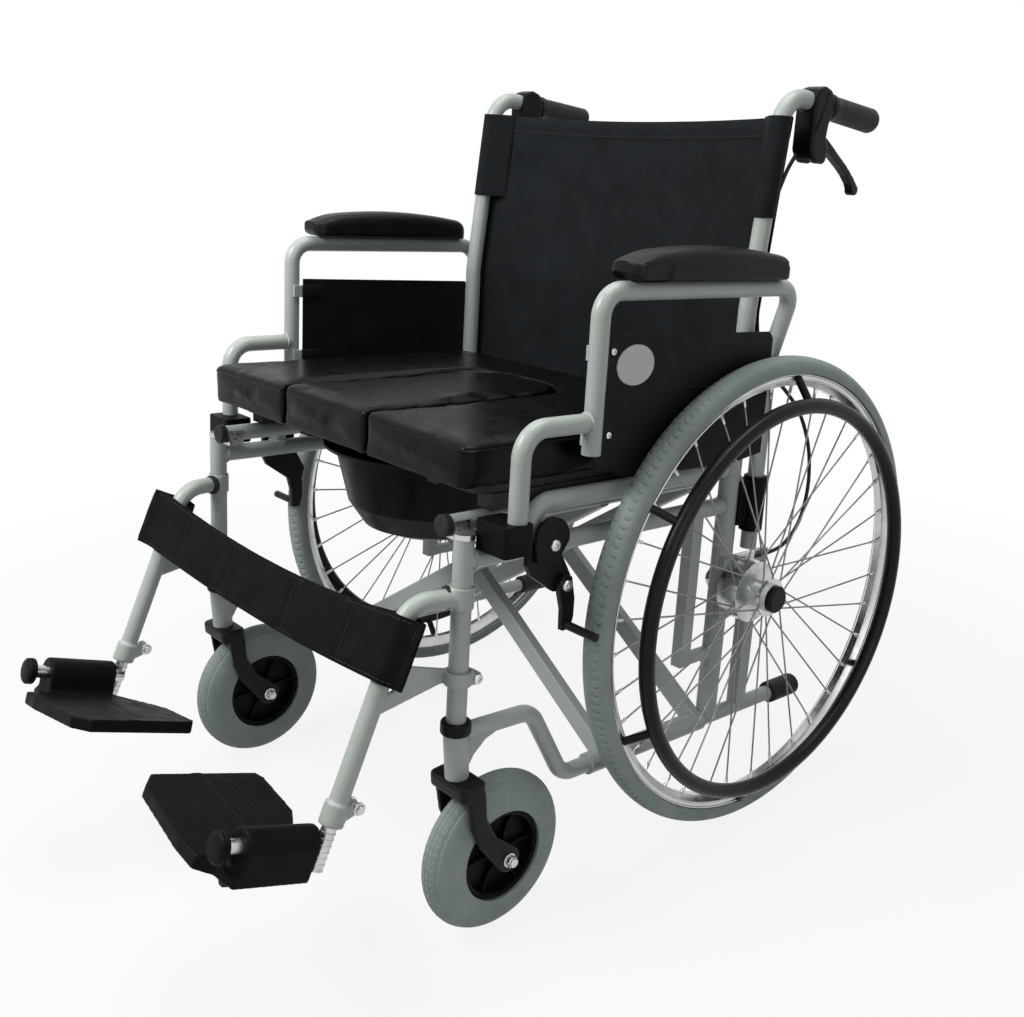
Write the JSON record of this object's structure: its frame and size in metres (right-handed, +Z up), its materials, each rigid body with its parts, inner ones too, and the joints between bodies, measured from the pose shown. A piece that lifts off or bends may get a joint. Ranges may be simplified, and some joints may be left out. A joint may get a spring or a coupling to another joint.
{
  "type": "commode wheelchair",
  "caption": "Self-propelled wheelchair with a lift-out seat plug over a slide-out bucket, swing-away legrests, lift-off armrests, parking brakes and hand brake levers.",
  "frame": {"origin": "on the floor under the middle of the bounding box", "axes": "+Z up, the chair faces -Y, +X is the sitter's left"},
  "size_m": [0.731, 1.0479, 0.9178],
  "materials": {
    "painted_tube": "satin light grey paint",
    "bright_steel": "zinc plated",
    "alloy": "polished",
    "black_plastic": "fine grained black",
    "black_metal": "satin black",
    "black_rubber": "matt black",
    "pad_foam": "skinned foam, satin black",
    "grey_tyre": "grey non-marking rubber",
    "seat_vinyl": "smooth black vinyl",
    "board": "dark painted plywood",
    "black_nylon": "coated woven nylon"
  },
  "bodies": {
    "frame": {"side_frame_left": "painted_tube", "side_frame_right": "painted_tube", "back_posts": "painted_tube", "back_cloth": "black_nylon", "cross_brace_left": "painted_tube", "cross_brace_right": "painted_tube", "brace_bolts": "bright_steel", "rail_end_caps": "black_rubber", "stem_collars": "black_plastic", "rear_axles": "bright_steel", "brake_plates": "bright_steel", "push_grips": "black_rubber", "brake_housings": "black_plastic", "brake_cables": "black_rubber", "seat_rail_clips": "bright_steel", "armrest_sockets": "black_plastic", "wheel_lock_brackets": "black_metal"},
    "seat": {"seat_cushion": "seat_vinyl", "seat_board": "board"},
    "seat_plug": {"seat_plug": "seat_vinyl"},
    "bucket": {"bucket": "black_plastic"},
    "rear_wheel_left": {"rear_tyre_left": "grey_tyre", "rear_rim_left": "alloy", "hub_left": "alloy", "hub_cap_left": "black_plastic", "spokes_left": "bright_steel", "handrim_left": "black_plastic"},
    "caster_swivel_left": {"caster_fork_left": "black_metal"},
    "caster_wheel_left": {"caster_tyre_left": "grey_tyre", "caster_rim_left": "black_plastic"},
    "legrest_left": {"legrest_hanger_left": "painted_tube", "calf_strap_left": "black_nylon"},
    "footrest_left": {"footrest_tube_left": "bright_steel"},
    "footplate_left": {"footplate_left": "black_plastic"},
    "lock_lever_left": {"wheel_lock_lever_left": "black_plastic"},
    "lock_shoe_left": {"wheel_lock_shoe_left": "black_metal"},
    "armrest_left": {"armrest_frame_left": "painted_tube", "armrest_pad_left": "pad_foam", "side_panel_left": "black_plastic"},
    "brake_lever_left": {"brake_lever_left": "black_metal"},
    "rear_wheel_right": {"rear_tyre_right": "grey_tyre", "rear_rim_right": "alloy", "hub_right": "alloy", "hub_cap_right": "black_plastic", "spokes_right": "bright_steel", "handrim_right": "black_plastic"},
    "caster_swivel_right": {"caster_fork_right": "black_metal"},
    "caster_wheel_right": {"caster_tyre_right": "grey_tyre", "caster_rim_right": "black_plastic"},
    "legrest_right": {"legrest_hanger_right": "painted_tube", "calf_strap_right": "black_nylon"},
    "footrest_right": {"footrest_tube_right": "bright_steel"},
    "footplate_right": {"footplate_right": "black_plastic"},
    "lock_lever_right": {"wheel_lock_lever_right": "black_plastic"},
    "lock_shoe_right": {"wheel_lock_shoe_right": "black_metal"},
    "armrest_right": {"armrest_frame_right": "painted_tube", "armrest_pad_right": "pad_foam", "side_panel_right": "black_plastic"},
    "brake_lever_right": {"brake_lever_right": "black_metal"}
  },
  "joints": [
    {"name": "seat_lift", "type": "slide", "parent": "frame", "child": "seat", "axis": [0, 0.0958, 0.9954], "range_m": [0, 0.1]},
    {"name": "seat_plug_lift", "type": "slide", "parent": "seat", "child": "seat_plug", "axis": [0, 0.0958, 0.9954], "range_m": [0, 0.08]},
    {"name": "bucket_slide", "type": "slide", "parent": "seat", "child": "bucket", "axis": [0, -0.9954, 0.0958], "range_m": [0, 0.3]},
    {"name": "rear_wheel_left_spin", "type": "hinge", "parent": "frame", "child": "rear_wheel_left", "pos_m": [0.318, 0.219, 0.305], "axis": [1, 0, 0], "continuous": true},
    {"name": "caster_swivel_left_turn", "type": "hinge", "parent": "frame", "child": "caster_swivel_left", "pos_m": [0.266, -0.2336, 0.19], "axis": [0, 0, 1], "continuous": true},
    {"name": "caster_wheel_left_spin", "type": "hinge", "parent": "caster_swivel_left", "child": "caster_wheel_left", "pos_m": [0.266, -0.1886, 0.095], "axis": [1, 0, 0], "continuous": true},
    {"name": "legrest_left_swing", "type": "hinge", "parent": "frame", "child": "legrest_left", "pos_m": [0.266, -0.22255, 0.37263], "axis": [0, 0.0958, 0.9954], "range_deg": [0, 90]},
    {"name": "footrest_left_height", "type": "slide", "parent": "legrest_left", "child": "footrest_left", "axis": [0, -0.4617, -0.887], "range_m": [0, 0.05]},
    {"name": "footplate_left_flip", "type": "hinge", "parent": "footrest_left", "child": "footplate_left", "pos_m": [0.2475, -0.39458, 0.19262], "axis": [0, 0.9239, -0.3827], "range_deg": [0, 82]},
    {"name": "lock_lever_left_push", "type": "hinge", "parent": "frame", "child": "lock_lever_left", "pos_m": [0.284, -0.1095, 0.45116], "axis": [1, 0, 0], "range_deg": [0, 60]},
    {"name": "lock_shoe_left_press", "type": "hinge", "parent": "frame", "child": "lock_shoe_left", "pos_m": [0.284, -0.0924, 0.39928], "axis": [1, 0, 0], "range_deg": [0, 6.2]},
    {"name": "armrest_left_lift", "type": "slide", "parent": "frame", "child": "armrest_left", "axis": [0, 0.0958, 0.9954], "range_m": [0, 0.12]},
    {"name": "brake_lever_left_squeeze", "type": "hinge", "parent": "frame", "child": "brake_lever_left", "pos_m": [0.266, 0.34624, 0.85433], "axis": [1, 0, 0], "range_deg": [0, 18], "stiffness_Nm_per_rad": 1.5, "springref_deg": -5.73},
    {"name": "rear_wheel_right_spin", "type": "hinge", "parent": "frame", "child": "rear_wheel_right", "pos_m": [-0.318, 0.219, 0.305], "axis": [1, 0, 0], "continuous": true},
    {"name": "caster_swivel_right_turn", "type": "hinge", "parent": "frame", "child": "caster_swivel_right", "pos_m": [-0.266, -0.2336, 0.19], "axis": [0, 0, 1], "continuous": true},
    {"name": "caster_wheel_right_spin", "type": "hinge", "parent": "caster_swivel_right", "child": "caster_wheel_right", "pos_m": [-0.266, -0.1886, 0.095], "axis": [1, 0, 0], "continuous": true},
    {"name": "legrest_right_swing", "type": "hinge", "parent": "frame", "child": "legrest_right", "pos_m": [-0.266, -0.22255, 0.37263], "axis": [0, -0.0958, -0.9954], "range_deg": [0, 90]},
    {"name": "footrest_right_height", "type": "slide", "parent": "legrest_right", "child": "footrest_right", "axis": [0, -0.4617, -0.887], "range_m": [0, 0.05]},
    {"name": "footplate_right_flip", "type": "hinge", "parent": "footrest_right", "child": "footplate_right", "pos_m": [-0.2475, -0.39458, 0.19262], "axis": [0, -0.9239, 0.3827], "range_deg": [0, 82]},
    {"name": "lock_lever_right_push", "type": "hinge", "parent": "frame", "child": "lock_lever_right", "pos_m": [-0.284, -0.1095, 0.45116], "axis": [1, 0, 0], "range_deg": [0, 60]},
    {"name": "lock_shoe_right_press", "type": "hinge", "parent": "frame", "child": "lock_shoe_right", "pos_m": [-0.284, -0.0924, 0.39928], "axis": [1, 0, 0], "range_deg": [0, 6.2]},
    {"name": "armrest_right_lift", "type": "slide", "parent": "frame", "child": "armrest_right", "axis": [0, 0.0958, 0.9954], "range_m": [0, 0.12]},
    {"name": "brake_lever_right_squeeze", "type": "hinge", "parent": "frame", "child": "brake_lever_right", "pos_m": [-0.266, 0.34624, 0.85433], "axis": [1, 0, 0], "range_deg": [0, 18], "stiffness_Nm_per_rad": 1.5, "springref_deg": -5.73}
  ],
  "couplings": [
    {"joint": "lock_shoe_left_press", "follows": "lock_lever_left_push", "ratio": 0.10333},
    {"joint": "lock_shoe_right_press", "follows": "lock_lever_right_push", "ratio": 0.10333}
  ]
}
